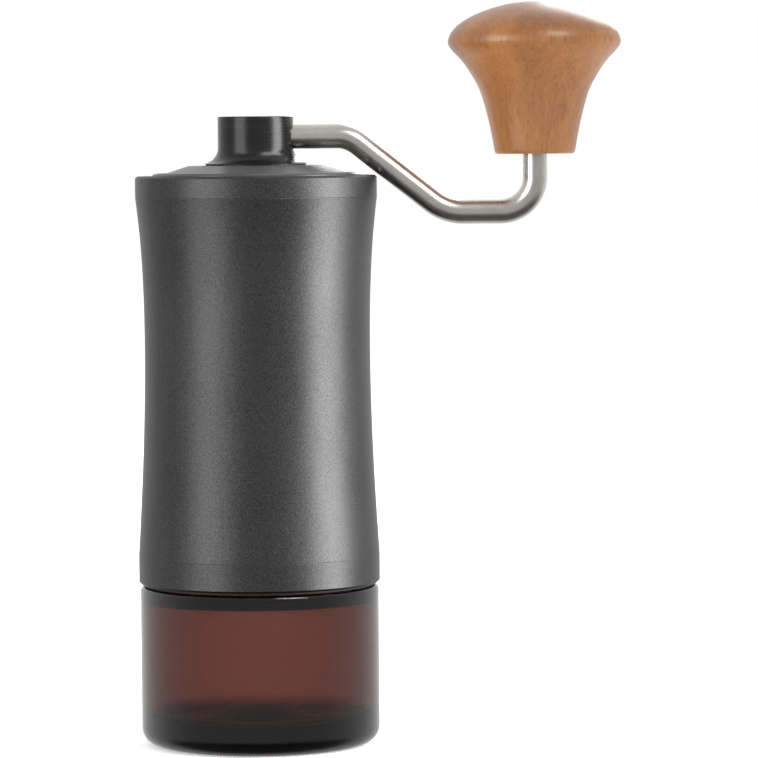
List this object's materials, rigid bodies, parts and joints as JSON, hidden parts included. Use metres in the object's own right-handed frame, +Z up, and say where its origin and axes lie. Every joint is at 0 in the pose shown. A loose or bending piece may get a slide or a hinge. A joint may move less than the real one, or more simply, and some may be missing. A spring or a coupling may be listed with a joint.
{
  "type": "hand crank coffee grinder",
  "caption": "Hand crank burr coffee grinder: waisted metal body, screw-on amber glass jar, lift-off lid with a bent steel crank and a turned wooden knob",
  "frame": {"origin": "centre of the jar's flat base, on the surface the grinder stands on", "axes": "+Z up along the grinder's axis, +X along the crank towards the knob, +Y towards the back"},
  "size_m": [0.1211, 0.0602, 0.1847],
  "materials": {
    "amber_glass": "clear amber, smooth",
    "black_silicone": "matte",
    "blasted_aluminium": "bead blasted and anodised dark grey",
    "black_polymer": "fine moulded texture",
    "bridge_aluminium": "turned",
    "spring_steel": "oiled",
    "bearing_steel": "ground",
    "burr_steel": "hardened, cut teeth",
    "shaft_steel": "ground and polished",
    "rod_steel": "polished",
    "lid_polymer": "satin",
    "black_hub": "satin black",
    "bush_polymer": "slippery white plastic",
    "bush_brass": "turned",
    "knob_wood": "turned, oiled and varnished"
  },
  "bodies": {
    "housing": {"burr_carrier": "black_polymer", "hopper_liner": "black_polymer", "body_sleeve": "blasted_aluminium", "upper_bearing_bridge": "bridge_aluminium", "lower_bearing_bridge": "bridge_aluminium", "bridge_snap_rings": "spring_steel", "upper_bearing_outer_ring": "bearing_steel", "lower_bearing_outer_ring": "bearing_steel", "bearing_shields": "bearing_steel", "ring_burr": "burr_steel", "burr_clamp_ring": "bridge_aluminium", "clamp_ring_screws": "spring_steel"},
    "shaft": {"drive_shaft": "shaft_steel", "upper_bearing_inner_ring": "bearing_steel", "upper_bearing_balls": "bearing_steel", "lower_bearing_inner_ring": "bearing_steel", "lower_bearing_balls": "bearing_steel", "shaft_circlips": "spring_steel", "spring_washer": "spring_steel", "burr_spring": "spring_steel"},
    "burr": {"cone_burr": "burr_steel", "click_plate": "spring_steel"},
    "dial": {"grind_dial": "bridge_aluminium", "click_balls": "bearing_steel", "click_springs": "spring_steel"},
    "lid": {"lid": "lid_polymer", "lid_bush": "bush_polymer", "lid_o_ring": "black_silicone"},
    "crank": {"crank_hub": "black_hub", "drive_socket": "shaft_steel", "socket_circlip": "spring_steel", "hub_washer": "black_polymer", "crank_rod": "rod_steel", "rod_grub_screw": "spring_steel", "knob_circlip": "spring_steel"},
    "knob": {"wooden_knob": "knob_wood", "knob_bush": "bush_brass"},
    "seal": {"jar_seal": "black_silicone"},
    "jar": {"glass_jar": "amber_glass"}
  },
  "joints": [
    {"name": "lid_lift", "type": "slide", "parent": "housing", "child": "lid", "axis": [0, 0, 1], "range_m": [0, 0.045]},
    {"name": "crank_turn", "type": "hinge", "parent": "lid", "child": "crank", "pos_m": [0, 0, 0.1516], "axis": [0, 0, 1], "continuous": true},
    {"name": "knob_turn", "type": "hinge", "parent": "crank", "child": "knob", "pos_m": [0.0695, 0, 0.16], "axis": [0, 0, 1], "continuous": true},
    {"name": "shaft_turn", "type": "hinge", "parent": "housing", "child": "shaft", "pos_m": [0, 0, 0.1], "axis": [0, 0, 1], "continuous": true},
    {"name": "burr_travel", "type": "slide", "parent": "shaft", "child": "burr", "axis": [0, 0, 1], "range_m": [-0.002, 0.0005], "deforming": ["burr_spring"]},
    {"name": "dial_turn", "type": "hinge", "parent": "burr", "child": "dial", "pos_m": [0, 0, 0.06], "axis": [0, 0, 1], "range_deg": [-720, 180]},
    {"name": "jar_drop", "type": "slide", "parent": "housing", "child": "seal", "axis": [0, 0, 1], "range_m": [-0.009, 0]},
    {"name": "jar_turn", "type": "hinge", "parent": "seal", "child": "jar", "pos_m": [0, 0, 0.02], "axis": [0, 0, 1], "range_deg": [-810, 0]}
  ],
  "couplings": [
    {"joint": "shaft_turn", "follows": "crank_turn", "ratio": 1},
    {"joint": "dial_turn", "follows": "burr_travel", "rad_per_m": 6283.2},
    {"joint": "jar_turn", "follows": "jar_drop", "rad_per_m": 1570.8}
  ]
}
